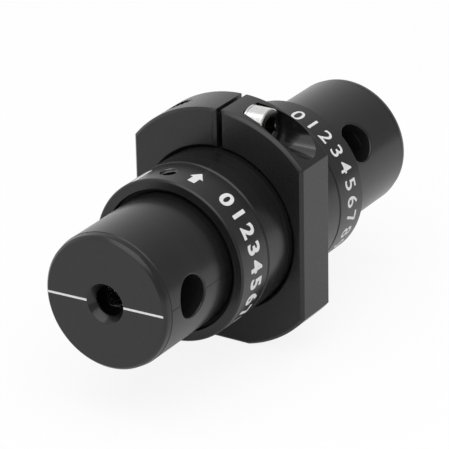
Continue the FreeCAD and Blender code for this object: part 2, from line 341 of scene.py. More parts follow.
def lathe_coordinates(tree, pitch):
    """Vector of (radius, distance along the axis) in units of a pitch in millimetres, for tool rings."""
    place = add_node(tree, "TexCoord")
    centre = add_node(tree, "Mapping", vector_type="POINT")
    centre.inputs["Location"].default_value = (0, 0, -axis_height * MM)
    tree.links.new(place.outputs["Object"], centre.inputs["Vector"])
    parts = add_node(tree, "SeparateXYZ")
    tree.links.new(centre.outputs["Vector"], parts.inputs["Vector"])
    flat = add_node(tree, "CombineXYZ")
    tree.links.new(parts.outputs["X"], flat.inputs["X"])
    tree.links.new(parts.outputs["Z"], flat.inputs["Y"])
    radius = add_node(tree, "VectorMath", operation="LENGTH")
    tree.links.new(flat.outputs["Vector"], radius.inputs[0])
    pair = add_node(tree, "CombineXYZ")
    tree.links.new(radius.outputs["Value"], pair.inputs["X"])
    tree.links.new(parts.outputs["Y"], pair.inputs["Y"])
    scaled = add_node(tree, "VectorMath", operation="SCALE")
    scaled.inputs["Scale"].default_value = 1 / (pitch * MM)
    tree.links.new(pair.outputs["Vector"], scaled.inputs[0])
    return scaled.outputs["Vector"]


def object_coordinates(tree):
    """Plain object coordinates, which are the model's own metres."""
    return add_node(tree, "TexCoord").outputs["Object"]


def textured(tree, shader, vector, scale, rough, base=None, grain=0.0, detail=3.0):
    """Noise that varies the roughness between two values, the colour between two, and gives a fine grain."""
    noise = add_node(tree, "TexNoise", Scale=scale, Detail=detail)
    tree.links.new(vector, noise.inputs["Vector"])
    spread = add_node(tree, "MapRange")
    spread.inputs["From Min"].default_value = 0.25
    spread.inputs["From Max"].default_value = 0.75
    spread.inputs["To Min"].default_value = rough[0]
    spread.inputs["To Max"].default_value = rough[1]
    tree.links.new(noise.outputs["Fac"], spread.inputs["Value"])
    tree.links.new(spread.outputs["Result"], shader.inputs["Roughness"])
    if base:
        ramp = add_node(tree, "ValToRGB")
        ramp.color_ramp.elements[0].position = 0.3
        ramp.color_ramp.elements[1].position = 0.7
        ramp.color_ramp.elements[0].color = (*base[0], 1)
        ramp.color_ramp.elements[1].color = (*base[1], 1)
        tree.links.new(noise.outputs["Fac"], ramp.inputs["Fac"])
        tree.links.new(ramp.outputs["Color"], shader.inputs["Base Color"])
    if grain:
        bump = add_node(tree, "Bump", Strength=grain, Distance=0.02 * MM)
        tree.links.new(noise.outputs["Fac"], bump.inputs["Height"])
        tree.links.new(bump.outputs["Normal"], shader.inputs["Normal"])


# %% [markdown]
# Nearly every finish is the same recipe with other numbers: a pattern, how fine it is, how rough the surface
# is at least and at most, a darker and a lighter shade, and how much grain it has. So one function makes
# them all, and each finish is a row of numbers.
#
# The black ones are one anodising on surfaces that were cut in different ways. It is satin with fine rings
# where a lathe turned it, satin with an even grain where it was milled and blasted, dull where a boring bar
# has been, and glossy with streaks where a cutter's side has been. The dull black inside ports, mouths and
# holders is also darker in colour, as painted shade. The cap screw is bright steel, and its face and socket
# are painted a darker steel, as painted shade. The set screws are oily black oxide. A tap has laid the
# aluminium bare in the holes, half covered with what is left of the black. The print is a matt white ink,
# uneven enough not to look pasted on. The magnets have a warm bright nickel plating, the crystal sits in
# turned brass, and the prisms have finely ground bevels.

# %% The finishes themselves
ANODISED = ((0.008, 0.008, 0.0085), (0.013, 0.013, 0.0135))


def greys(dark, light):
    """Two neutral shades."""
    return (dark, dark, dark), (light, light, light)


def finish(name, pattern, scale, rough, shades, grain, metallic=0, specular=0.5):
    """Material whose colour, roughness and grain vary a little from place to place."""
    material, tree, shader = new_finish(name, shades[0], metallic)
    shader.inputs["Specular IOR Level"].default_value = specular
    textured(tree, shader, pattern(tree), scale, rough, shades, grain)
    return material


def tool_rings(pitch):
    """Pattern of the rings that a lathe tool leaves."""
    return lambda tree: lathe_coordinates(tree, pitch)


def streaks_along_x(tree):
    """Pattern drawn out along X, the way that the cutter went into the ring."""
    streaks = add_node(tree, "Mapping", vector_type="POINT")
    streaks.inputs["Scale"].default_value = (0.03, 1, 1)
    tree.links.new(object_coordinates(tree), streaks.inputs["Vector"])
    return streaks.outputs["Vector"]


def optical_glass(name, base, ior):
    """Clear polished glass. Its faint colour shows only where the light's path is long."""
    material, tree, shader = new_finish(name, base, 0, ior)
    shader.inputs["Transmission Weight"].default_value = 1
    textured(tree, shader, object_coordinates(tree), 800, (0.0, 0.02), None, 0.01)
    return material


even = object_coordinates
turned_black = finish("turned_black_anodising", tool_rings(0.35), 1.0, (0.23, 0.28), ANODISED, 0.02)
milled_black = finish("milled_black_anodising", even, 5000, (0.24, 0.34), ANODISED, 0.15)
# Dull black for bores, ports, mouths and the inner holders; its darker colour is painted shade in these
# recesses.
bored_black_painted_shade = finish("dull_black_painted_shade", even, 4000, (0.5, 0.7), greys(0.004, 0.007), 0.1, specular=0.25)
reamed_black = finish("reamed_black_anodising", streaks_along_x, 4000, (0.1, 0.2), ANODISED, 0.2,
                      specular=0.9)
steel = finish("bright_steel", even, 2500, (0.16, 0.3),
               ((0.74, 0.73, 0.72), (0.84, 0.83, 0.82)), 0.2, metallic=1)
# Darker steel that paints shade on the cap screw's face and socket.
painted_shade_steel = finish("steel_painted_shade", even, 3000, (0.15, 0.3), greys(0.07, 0.13), 0.2, metallic=1)
oxide = finish("blackened_steel", even, 3000, (0.25, 0.4),
               ((0.03, 0.03, 0.033), (0.06, 0.06, 0.062)), 0.2, metallic=1)
bare_metal = finish("cut_aluminium", even, 4000, (0.25, 0.4), greys(0.06, 0.2), 0.2, metallic=1)
ink = finish("white_ink", even, 4000, (0.5, 0.7), greys(0.68, 0.8), 0.1)
nickel = finish("nickel_plate", even, 1500, (0.12, 0.25),
                ((0.58, 0.56, 0.52), (0.66, 0.64, 0.6)), 0.1, metallic=1)
brass = finish("turned_brass", tool_rings(0.3), 1.0, (0.2, 0.35),
               ((0.66, 0.49, 0.2), (0.76, 0.6, 0.3)), 0.2, metallic=1)
edge_glass = finish("ground_glass", even, 6000, (0.6, 0.8), greys(0.45, 0.6), 0.2)
cube_glass = optical_glass("cube_glass", (0.9, 0.97, 0.88), 1.62)
crystal_glass = optical_glass("crystal_glass", (0.93, 0.9, 0.72), 1.95)
print("finishes:", sorted(material.name for material in bpy.data.materials))

# %% [markdown]
# ## The split ring
#
# The ring is a turned disc with three flats milled on it, a saw cut at the top, a pocket for the screw's
# head and a post hole below. Spin makes the disc, bisect slices the flats off and the open slices are
# filled. The edges of both faces are then chamfered in one go: they are the edges where a face that looks
# along the axis meets one that doesn't. The holes come last, so that the chamfer can't spill into them.

# %% Ring blank with its flats, slot and chamfers
RING_CHAMFER = 0.55
SLOT_MIDDLE = 0.35
SLOT_WIDTH = 0.95
ring_bore = tube_radius + RUNNING_FIT


def sliced(solid, point, outward):
    """Cuts away what lies beyond a plane and closes the slice."""
    result = bmesh.ops.bisect_plane(solid, geom=solid.verts[:] + solid.edges[:] + solid.faces[:], dist=1e-5,
                                    plane_co=point, plane_no=outward, clear_outer=True)
    rim = [item for item in result["geom_cut"] if isinstance(item, bmesh.types.BMEdge)]
    bmesh.ops.contextual_create(solid, geom=rim)
    return solid


def faces_along_axis(edge):
    """Whether an edge lies between a face that looks along Y and one that doesn't."""
    along = [abs(face.normal.y) > 0.9 for face in edge.link_faces]
    return len(along) == 2 and along[0] != along[1]


def clear_beside_slot(disc):
    """Takes out the disc's own divisions beside the slot, where they would be in the chamfer's way."""
    room = RING_CHAMFER + 2 * EDGE_ROUND
    near = {point for point in disc.verts
            if point.co.z > 0 and 1e-3 < abs(point.co.x - SLOT_MIDDLE) - SLOT_WIDTH / 2 < room}
    crossing = []
    for edge in disc.edges:
        first, second = (point.co for point in edge.verts)
        along_arc = (abs(first.y - second.y) < 1e-3
                     and abs(math.hypot(first.x, first.z) - math.hypot(second.x, second.z)) < 1e-2)
        if near.intersection(edge.verts) and not along_arc:
            crossing.append(edge)
    bmesh.ops.dissolve_edges(disc, edges=crossing, use_verts=True)


def ring_blank():
    """Disc with two side flats, the bottom flat and the slot, chamfered on both faces."""
    disc = ring_band(ring_bore, ring_radius, -ring_half, ring_half, rounding=0)
    sliced(disc, (ring_side, 0, 0), (1, 0, 0))
    sliced(disc, (-ring_side, 0, 0), (-1, 0, 0))
    sliced(disc, (0, 0, -axis_height), (0, 0, -1))
    half = SLOT_WIDTH / 2
    past = ring_half + 1
    saw = block((SLOT_MIDDLE - half, -past, 0), (SLOT_MIDDLE + half, past, ring_radius + 1))
    disc = cut(disc, saw)
    clear_beside_slot(disc)
    disc.normal_update()
    rims = [edge for edge in disc.edges if faces_along_axis(edge)]
    bmesh.ops.bevel(disc, geom=rims, offset=RING_CHAMFER, segments=1, affect="EDGES", profile=0.5,
                    material=-1, clamp_overlap=False)
    bmesh.ops.remove_doubles(disc, verts=disc.verts, dist=1e-4)
    sharp = [edge for edge in disc.edges if edge.calc_face_angle(0) > math.radians(20)]
    bmesh.ops.bevel(disc, geom=sharp, offset=EDGE_ROUND, segments=2, affect="EDGES", profile=0.5,
                    material=-1, clamp_overlap=False)
    return disc


# %% [markdown]
# The cap screw lies in a pocket of a round-nosed cutter, which runs out through the ring's round side. Its
# thread is in the other half of the ring, where the drill's mouth shows as a dark ellipse.

# %% Pocket and tapped holes
SCREW_PITCH = 0.794
screw_low, screw_high = corners_of("clamp_screw")
head_radius = (screw_high.y - screw_low.y) / 2
screw_height = (screw_low.z + screw_high.z) / 2
HEAD_LENGTH = 4.17
SHANK_RADIUS = 2.03
head_seat = screw_high.x - HEAD_LENGTH
POCKET_RADIUS = head_radius + 0.62
POST_HOLE_RADIUS = 2.08
POST_HOLE_DEPTH = 5.4


def ring_solid():
    """The finished split ring."""
    ring = ring_blank()
    centre = (0, 0, screw_height)
    pocket = pointed(rod(POCKET_RADIUS, head_seat, ring_radius + 1), (1, 0, 0), centre)
    shank_hole = pointed(rod(SHANK_RADIUS + 0.2, SLOT_MIDDLE, head_seat + 0.1, sides=64), (1, 0, 0), centre)
    tap = [pointed(cutter, (1, 0, 0), centre)
           for cutter in tapped(SHANK_RADIUS + 0.05, SCREW_PITCH, -ring_radius, SLOT_MIDDLE)]
    bottom = (0, 0, -axis_height)
    post = [pointed(cutter, (0, 0, 1), bottom)
            for cutter in tapped(POST_HOLE_RADIUS, SCREW_PITCH, -0.8, POST_HOLE_DEPTH)]
    countersink = rod(POST_HOLE_RADIUS + 0.4, -0.1, 0.3, end_radius=POST_HOLE_RADIUS)
    ring = cut(ring, pocket, shank_hole, *tap, *post, pointed(countersink, (0, 0, 1), bottom))
    return refinish(ring, lambda at: at.x > head_seat - 0.1
                    and math.hypot(at.y, at.z - screw_height) < POCKET_RADIUS)


hand_over(ring_solid(), "split_ring", "clamp", "black_anodised", milled_black, reamed_black,
          node="clamp_ring")

# %% [markdown]
# ## The cap screw
#
# The head's side carries a fine knurl, so that fingers can start the screw, and a groove by its seat. The
# knurl is two sets of slanting grooves that cross, pressed into a finely divided band: each point of the
# band moves in by the depth of the two waves that pass it. The socket is a six-sided cut with a drill point
# below.

# %% Knurled head, socket and thread
SOCKET_FLATS = 3.57
KNURL_DEPTH = 0.02
KNURL_COUNT = 60
KNURL_ROWS = 32
HEAD_EDGE = 0.18
HEAD_GROOVE = 0.12
SOCKET_FLARE = 0.3
SOCKET_DEPTH = 2.2


def press_knurl(solid, radius, start, end):
    """Presses crossing grooves into the round band between two distances."""
    slant = math.pi * KNURL_COUNT / (2 * math.pi * radius)
    for point in solid.verts:
        reach = math.hypot(point.co.x, point.co.z)
        if abs(reach - radius) > 1e-3 or not start < point.co.y < end:
            continue
        turn = math.atan2(point.co.z, point.co.x) * KNURL_COUNT / 2
        waves = abs(math.sin(turn + slant * point.co.y)) + abs(math.sin(turn - slant * point.co.y))
        scale = 1 - KNURL_DEPTH * (1 - waves / 2) / radius
        point.co.x *= scale
        point.co.z *= scale


def cap_screw():
    """Cap screw made along Y with the seat of its head at zero, and pointed along X in its place."""
    length = head_seat - screw_low.x
    knurl_start, knurl_end = 0.8, HEAD_LENGTH - 0.3
    rows = [(head_radius, knurl_start + (knurl_end - knurl_start) * row / KNURL_ROWS)
            for row in range(KNURL_ROWS + 1)]
    groove = head_radius - HEAD_GROOVE
    head = turned([(0, 0), (head_radius - 0.2, 0), (head_radius, 0.2), (head_radius, 0.5), (groove, 0.6),
                   (groove, 0.7), *rows, (head_radius, HEAD_LENGTH - HEAD_EDGE),
                   (head_radius - HEAD_EDGE, HEAD_LENGTH), (0, HEAD_LENGTH)], rounding=0)
    press_knurl(head, head_radius, knurl_start, knurl_end)
    half, floor_at = SOCKET_FLATS / 2, HEAD_LENGTH - SOCKET_DEPTH
    socket = hex_key(SOCKET_FLATS, floor_at, HEAD_LENGTH + 1)
    drill_point = rod(0.1, floor_at - 0.8, floor_at + 0.1, sides=48, end_radius=half - 0.05)
    flare = rod(half, HEAD_LENGTH - 0.2, HEAD_LENGTH + 0.1, sides=48, end_radius=half + SOCKET_FLARE)
    head = cut(head, socket, drill_point, flare)
    # The face and socket get the darker steel, which is painted shade.
    refinish(head, lambda at: at.y > HEAD_LENGTH - HEAD_EDGE / 4
             or math.hypot(at.x, at.z) < half + SOCKET_FLARE and at.y > 1)
    core = SHANK_RADIUS - 0.6 * SCREW_PITCH
    shank = turned([(0, -length), (core - 0.3, -length), (core, -length + 0.3), (core, 0.2), (0, 0.2)],
                   rounding=0, steps=96)
    grip = ridge(core, SHANK_RADIUS, SCREW_PITCH, -length + 0.6, -1.2)
    return pointed(joined(head, shank, grip), (1, 0, 0), (head_seat, 0, screw_height))


hand_over(cap_screw(), "cap_screw", "clamp_screw", "stainless", steel, painted_shade_steel, node="clamp_screw")

# %% [markdown]
# ## Tube and collars
#
# The tube that holds the magnets is plain turned work. Each collar screws into its end, seats the barrel
# and has a small tapped hole with a headless screw that locks the barrel's angle.

# %% Magnet tube
TUBE_BORE = 12.9
TUBE_THREAD = 13.9
TUBE_CHAMFER = 0.3
THREAD_START = tube_end - 3.2


def magnet_tube():
    """Tube bored for the magnets, with a wider bore at each end for the collars."""
    half = [(TUBE_BORE, THREAD_START), (TUBE_THREAD, THREAD_START), (TUBE_THREAD, tube_end),
            (tube_radius - TUBE_CHAMFER, tube_end), (tube_radius, tube_end - TUBE_CHAMFER)]
    return turned([(radius, -along) for radius, along in half] + half[::-1])


hand_over(magnet_tube(), "tube", "isolator", "black_anodised", turned_black, node="magnet_tube")

# %% Collars and their set screws
COLLAR_CHAMFER = 0.3
COLLAR_MOUTH = barrel_radius + 0.85
COLLAR_MOUTH_DEPTH = 1.2
COLLAR_SEAT = tube_end + 1.45
SLEEVE_SEAT = 3.94
SET_SCREW_RADIUS = 1.6
SET_SCREW_LENGTH = 2.3
SET_SCREW_PITCH = 0.635
SET_SCREW_FLATS = 1.59
set_screw_tip = barrel_radius - 0.45
set_screw_distance = joints["output_set_screw_turn"]["pos_m"][1] / MM


def screw_angle(end):
    """How far round the collar its set screw sits, in degrees from +X."""
    along_x, _, along_z = joints[f"{end}_set_screw_turn"]["axis"]
    return math.degrees(math.atan2(along_z, along_x))


def collar(angle):
    """Collar with its threaded spigot, seat and dull mouth, darkened as painted shade, and the set screw's
    bare tapped hole.
    """
    mouth_floor = collar_end - COLLAR_MOUTH_DEPTH
    body = turned([
        (SLEEVE_SEAT, THREAD_START), (TUBE_THREAD - SNUG_FIT, THREAD_START),
        (TUBE_THREAD - SNUG_FIT, tube_end),
        (tube_radius - COLLAR_CHAMFER, tube_end), (tube_radius, tube_end + COLLAR_CHAMFER),
        (tube_radius, collar_end - COLLAR_CHAMFER), (tube_radius - COLLAR_CHAMFER, collar_end),
        (COLLAR_MOUTH, collar_end), (COLLAR_MOUTH, mouth_floor),
        (barrel_radius + RUNNING_FIT, mouth_floor), (barrel_radius + RUNNING_FIT, COLLAR_SEAT),
        (SLEEVE_SEAT, COLLAR_SEAT),
    ])
    cutters = tapped(SET_SCREW_RADIUS + RUNNING_FIT, SET_SCREW_PITCH, set_screw_tip - 0.8, tube_radius + 0.6)
    cutters.append(rod(SET_SCREW_RADIUS - 0.1, tube_radius - 0.3, tube_radius + 0.1,
                       end_radius=SET_SCREW_RADIUS + 0.15))
    body = cut(body, *[pointed(cutter, (1, 0, 0), (0, set_screw_distance, 0)) for cutter in cutters])
    refinish(body, lambda at: set_screw_tip < at.x and math.hypot(at.x, at.z) < tube_radius - 0.03
             and math.hypot(at.y - set_screw_distance, at.z) < SET_SCREW_RADIUS + 0.2)
    # The mouth gets the dull black whose darker colour is painted shade.
    refinish(body, lambda at: math.hypot(at.x, at.z) < COLLAR_MOUTH + 0.01 and at.y > mouth_floor - 0.1, 2)
    return rolled(body, angle)


def set_screw(angle):
    """Headless screw with a hexagon socket."""
    outer = set_screw_tip + SET_SCREW_LENGTH
    core = SET_SCREW_RADIUS - 0.3
    body = turned([(0, set_screw_tip), (core - 0.25, set_screw_tip), (core, set_screw_tip + 0.25),
                   (core, outer - 0.15), (core - 0.15, outer), (0, outer)], rounding=0, steps=72)
    body = joined(body, ridge(core, SET_SCREW_RADIUS, SET_SCREW_PITCH, set_screw_tip + 0.35, outer - 0.3))
    body = cut(body, hex_key(SET_SCREW_FLATS, outer - 1.1, outer + 1))
    return rolled(pointed(body, (1, 0, 0), (0, set_screw_distance, 0)), angle)


for end in ("input", "output"):
    angle = screw_angle(end)
    hand_over(at_end(collar(angle), end), f"{end}_collar_ring", "isolator", "black_anodised",
              turned_black, bare_metal, bored_black_painted_shade, node=f"{end}_collar")
    hand_over(at_end(set_screw(angle), end), f"{end}_locking_screw", f"{end}_set_screw", "black_oxide_steel",
              oxide, node=f"{end}_set_screw")

# %% [markdown]
# ## Barrels
#
# Each barrel has a round port through its side, where the light that the cube rejects comes out. The rim of
# such a port is a saddle, and its rounded edge keeps the same width all the way round. A plain drill can't
# cut that, so the cutter is shaped for it: a circle is extruded outwards ring by ring, each ring a little
# wider and set to its own depth below the barrel's round surface. The barrel's end has a narrow flat edge,
# and the cap starts a hair lower, which together draw the fine double line of the seam.

# %% Port cutter and barrel
PORT_RADIUS = 3.7
PORT_RIM = 0.4
PORT_SIDES = 96
BARREL_BORE = barrel_radius - 2.1
BARREL_CLEAR = 4.5
GROOVE_HALF = 1.75
GROOVE_DEPTH = 0.5
LINE_WIDTH = 0.22
LINE_DEPTH = 0.06
BARREL_EDGE = 0.25
CUBE_HALF = 3.0
SEAT_WALL = 1.75
PORTS = {
    "input": -(corners_of("input_cube_inner_prism")[0].y + corners_of("input_cube_outer_prism")[1].y) / 2,
    "output": (corners_of("output_cube_inner_prism")[0].y + corners_of("output_cube_outer_prism")[1].y) / 2,
}
ROLLS = {"input": 4.0, "output": 34.0}
print("ports at", {end: round(along, 2) for end, along in PORTS.items()})


def port_cutter(along):
    """Rod along X whose end flares like a rounded rim under the barrel's round surface."""
    stations = [(PORT_RADIUS, barrel_radius), (PORT_RADIUS, PORT_RIM)]
    for step in range(1, 6):
        angle = math.radians(14 * step)
        stations.append((PORT_RADIUS + PORT_RIM * (1 - math.cos(angle)), PORT_RIM * (1 - math.sin(angle))))
    stations.append((stations[-1][0] + 0.5 * math.sin(angle), stations[-1][1] - 0.5 * math.cos(angle)))
    stations.append((stations[-1][0], -2))
    solid = bmesh.new()
    bmesh.ops.create_circle(solid, cap_ends=True, segments=PORT_SIDES, radius=1)
    ring = [edge for edge in solid.edges]
    for number, (radius, depth) in enumerate(stations):
        if number:
            made = bmesh.ops.extrude_edge_only(solid, edges=ring)["geom"]
            ring = [item for item in made if isinstance(item, bmesh.types.BMEdge) and item.is_boundary]
        for point in {vert for edge in ring for vert in edge.verts}:
            turn = Vector((point.co.y - along, point.co.z) if number else (point.co.x, point.co.y))
            turn.normalize()
            side = radius * turn.y
            point.co = (math.sqrt(barrel_radius ** 2 - side ** 2) - depth, along + radius * turn.x, side)
    bmesh.ops.contextual_create(solid, geom=ring)
    bmesh.ops.recalc_face_normals(solid, faces=solid.faces)
    return solid


def barrel(along, barrel_end, angle, has_line):
    """Barrel with its groove and port, and at the input end the engraved line."""
    shoulder = along - CUBE_HALF - SEAT_WALL
    inner = COLLAR_SEAT + RUNNING_FIT
    groove = barrel_radius - GROOVE_DEPTH
    body = turned([
        (BARREL_CLEAR, inner), (barrel_radius, inner), (barrel_radius, set_screw_distance - GROOVE_HALF),
        (groove, set_screw_distance - GROOVE_HALF), (groove, set_screw_distance + GROOVE_HALF),
        (barrel_radius, set_screw_distance + GROOVE_HALF), (barrel_radius, barrel_end - BARREL_EDGE, 0.03),
        (barrel_radius - BARREL_EDGE, barrel_end, 0.03), (BARREL_BORE, barrel_end),
        (BARREL_BORE, shoulder), (BARREL_CLEAR, shoulder),
    ])
    cutters = [port_cutter(along)]
    if has_line:
        half = LINE_WIDTH / 2
        cutters.append(block((barrel_radius - LINE_DEPTH, collar_end, -half),
                             (barrel_radius + 1, barrel_end + 1, half)))
    # The port and the bore get the dull black whose darker colour is painted shade.
    body = refinish(cut(body, *cutters), lambda at: math.hypot(at.x, at.z) < barrel_radius - PORT_RIM)
    return rolled(body, angle)


# %% [markdown]
# ## End caps
#
# The cap closes the barrel and holds the aperture, a small hole with a wide countersink. A line across its
# face shows the plane of polarization. It is engraved and filled with white paint, so the groove is cut
# first and the paint is a separate thin bar that lies in it.

# %% End cap with its painted line
APERTURE = 2.7
APERTURE_MOUTH = 3.7
APERTURE_MOUTH_DEPTH = 1.37
CAP_CHAMFER = 0.52
CAP_TAPER = 0.26
CAP_STEP = 0.07
CAP_SPIGOT = 1.4
CAP_LINE_WIDTH = 0.42
CAP_LINE_DEPTH = 0.15
CAP_LINE_GAP = 0.05
CAP_ROLLS = {"input": 1.3, "output": 34.0}
cap_face_radius = barrel_radius - CAP_TAPER - CAP_CHAMFER


def cap_lines(face, width, depth_from, depth_to):
    """The two bars of the line, on both sides of the aperture."""
    bars = []
    for side in (-1, 1):
        limits = sorted((side * (APERTURE_MOUTH + CAP_LINE_GAP), side * cap_face_radius))
        bars.append(block((limits[0], face - depth_from, -width / 2),
                          (limits[1], face - depth_to, width / 2)))
    return bars


def end_cap(face, barrel_end, angle):
    """Cap with its spigot, aperture and engraved line."""
    spigot = BARREL_BORE - SNUG_FIT
    body = turned([
        (APERTURE, face - APERTURE_MOUTH_DEPTH), (APERTURE_MOUTH, face),
        (cap_face_radius, face), (barrel_radius - CAP_TAPER, face - CAP_CHAMFER, 0.1),
        (barrel_radius - CAP_STEP, barrel_end), (spigot, barrel_end), (spigot, barrel_end - CAP_SPIGOT),
        (spigot - 0.9, barrel_end - CAP_SPIGOT), (spigot - 0.9, barrel_end), (APERTURE, barrel_end),
    ], rounding=0.05)
    return rolled(cut(body, *cap_lines(face, CAP_LINE_WIDTH, CAP_LINE_DEPTH, -1)), angle)


def cap_paint(face, angle):
    """Paint in the cap's line, a hair below the face."""
    paint = bmesh.new()
    for bar in cap_lines(face, CAP_LINE_WIDTH, CAP_LINE_DEPTH, 0.01):
        mesh = bpy.data.meshes.new("bar")
        bar.to_mesh(mesh)
        bar.free()
        paint.from_mesh(mesh)
        bpy.data.meshes.remove(mesh)
    return rolled(paint, angle)


for end in ("input", "output"):
    body, face, barrel_end, cap_roll = f"{end}_polarizer", FACES[end], BARREL_ENDS[end], CAP_ROLLS[end]
    turned_barrel = barrel(PORTS[end], barrel_end, ROLLS[end], end == "input")
    hand_over(at_end(turned_barrel, end), f"{end}_turned_barrel", body, "black_anodised",
              turned_black, bored_black_painted_shade, node=f"{end}_barrel", smooth=19)
    hand_over(at_end(end_cap(face, barrel_end, cap_roll), end), f"{end}_cap", body, "black_anodised",
              turned_black, node=f"{end}_end_cap")
    hand_over(at_end(cap_paint(face, cap_roll), end), f"{end}_cap_paint", body, "black_anodised", ink)

# %% [markdown]
# ## What shows through the holes
#
# Through the aperture and the port one sees the cube's holder, the ring that keeps it there and the
# polished cube itself. The cube is two prisms cemented on a diagonal. Real prisms have tiny ground bevels on
# their edges, and these are what a dark hole shows of them, so every edge gets one.

# %% Cube holders, rings and prisms
HOLDER_PORT = PORT_RADIUS - 0.1
CUBE_RECESS = 0.25
PRISM_BEVEL = 0.12
KEEPER_BORE = 5.2


def cube_holder(along, angle):
    """Round insert with the cube's square pocket and the port."""
    start = along - CUBE_HALF - SEAT_WALL
    end = along + CUBE_HALF + CUBE_RECESS
    body = ring_band(APERTURE, BARREL_BORE - SNUG_FIT, start, end)
    side = CUBE_HALF + SNUG_FIT
    pocket = block((-side, along - CUBE_HALF, -side), (side, end + 1, side))
    port = pointed(rod(HOLDER_PORT, 0, barrel_radius), (1, 0, 0), (0, along, 0))
    return rolled(cut(body, pocket, port), angle)


def holder_ring(along, angle):
    """Ring with two spanner notches."""
    start = along + CUBE_HALF + CUBE_RECESS
    end = start + 1
    outer = BARREL_BORE - SNUG_FIT
    body = ring_band(KEEPER_BORE, outer, start, end)
    return rolled(cut(body, block((-outer - 1, end - 0.5, -0.7), (outer + 1, end + 1, 0.7))), angle)


def prism(along, angle, side):
    """Half of the cube, cut from a block along its diagonal, with ground edges."""
    solid = block((-CUBE_HALF, along - CUBE_HALF, -CUBE_HALF), (CUBE_HALF, along + CUBE_HALF, CUBE_HALF))
    sliced(solid, (0, along, 0), (side, side, 0))
    ground = bmesh.ops.bevel(solid, geom=solid.edges[:], offset=PRISM_BEVEL, segments=1, affect="EDGES",
                             profile=0.5, material=-1)["faces"]
    for face in ground:
        face.material_index = 1
    return rolled(solid, angle)


for end in ("input", "output"):
    body = f"{end}_polarizer"
    along, angle = PORTS[end], ROLLS[end]
    # The holder and keeper inside are dull black, darkened as painted shade.
    hand_over(at_end(cube_holder(along, angle), end), f"{end}_holder", body, "black_anodised",
              bored_black_painted_shade, node=f"{end}_cube_holder")
    hand_over(at_end(holder_ring(along, angle), end), f"{end}_keeper", body, "black_anodised",
              bored_black_painted_shade, node=f"{end}_holder_ring")
    for side, place in ((1, "inner"), (-1, "outer")):
        hand_over(at_end(prism(along, angle, side), end), f"{end}_{place}_prism", body, "prism_glass",
                  cube_glass, edge_glass, node=f"{end}_cube_{place}_prism")

# %% [markdown]
# ## Print on the collars
#
# Each collar carries white print: figures that help to read the barrel's angle, and on the input collar an
# arrow for the light's direction and an index line. Print is thin, but on a polished black ring it must lie
# exactly on the round surface. So each mark is made flat, sliced into narrow strips and wrapped: its width
# becomes an angle and its thickness a radius.

# %% Wrapping flat marks
PRINT_THICKNESS = 0.03
STRIP = 0.35


def wrapped(mark, angle, along):
    """Wraps a flat mark round the collar. Its X runs clockwise seen from the input, its Y along the axis."""
    low = min(point.co.x for point in mark.verts)
    high = max(point.co.x for point in mark.verts)
    for cut_number in range(1, math.ceil((high - low) / STRIP)):
        place = low + cut_number * STRIP
        bmesh.ops.bisect_plane(mark, geom=mark.verts[:] + mark.edges[:] + mark.faces[:], dist=1e-5,
                               plane_co=(place, 0, 0), plane_no=(1, 0, 0))
    for point in mark.verts:
        turn = math.radians(angle) - point.co.x / tube_radius
        reach = tube_radius - PRINT_THICKNESS / 2 + point.co.z
        point.co = (reach * math.cos(turn), along + point.co.y, reach * math.sin(turn))
    return mark


def raised(mark):
    """Gives a flat mark the thickness of print."""
    made = bmesh.ops.extrude_face_region(mark, geom=mark.faces[:])["geom"]
    top = [item for item in made if isinstance(item, bmesh.types.BMVert)]
    bmesh.ops.translate(mark, vec=(0, 0, PRINT_THICKNESS), verts=top)
    bmesh.ops.recalc_face_normals(mark, faces=mark.faces)
    return mark


def figure(text, height, boldness):
    """A figure as a flat mesh, centred, from the built-in typeface."""
    curve = bpy.data.curves.new("figure", "FONT")
    curve.body = text
    curve.align_x = "CENTER"
    curve.align_y = "CENTER"
    curve.size = height / 0.7
    curve.offset = boldness
    curve.resolution_u = 5
    holder = bpy.data.objects.new("figure", curve)
    bpy.context.scene.collection.objects.link(holder)
    bpy.context.view_layer.update()
    flat = evaluated(holder)
    bpy.data.objects.remove(holder)
    bmesh.ops.remove_doubles(flat, verts=flat.verts, dist=1e-4)
    return raised(flat)


def strip_mark(width, length):
    """A plain bar, centred."""
    mark = bmesh.new()
    bmesh.ops.create_grid(mark, x_segments=1, y_segments=1, size=0.5)
    bmesh.ops.scale(mark, vec=(width, length, 1), verts=mark.verts)
    return raised(mark)


# %% Figures, arrow and index line
FIGURE_HEIGHT = 3.3
FIGURE_STEP = 12.4
FIGURE_PLACE = 16.75
FIRST_INPUT_ANGLE = 52
FIRST_OUTPUT_ANGLE = 75
INPUT_BOLDNESS = 0.16
OUTPUT_BOLDNESS = 0.04
ARROW_LENGTH = 3.78
ARROW_HEAD = 1.9
ARROW_WIDTH = 2.67
ARROW_STEM = 1.4
ARROW_ANGLE, ARROW_PLACE = 77.2, -16.7
INDEX_WIDTH, INDEX_LENGTH = 1.1, 5.3
INDEX_ANGLE, INDEX_PLACE = 117.5, -18.1


def arrow():
    """Short block arrow that points along the light's way."""
    tip, neck, tail = ARROW_LENGTH / 2, ARROW_LENGTH / 2 - ARROW_HEAD, -ARROW_LENGTH / 2
    half, stem = ARROW_WIDTH / 2, ARROW_STEM / 2
    mark = bmesh.new()
    outline = [(0, tip), (-half, neck), (-stem, neck), (-stem, tail), (stem, tail), (stem, neck),
               (half, neck)]
    mark.faces.new([mark.verts.new((x, y, 0)) for x, y in outline])
    return raised(mark)


def print_on(mark, name, angle, along):
    """Wraps a mark on a collar and hands it over."""
    hand_over(wrapped(mark, angle, along), name, "isolator", "black_anodised", ink)


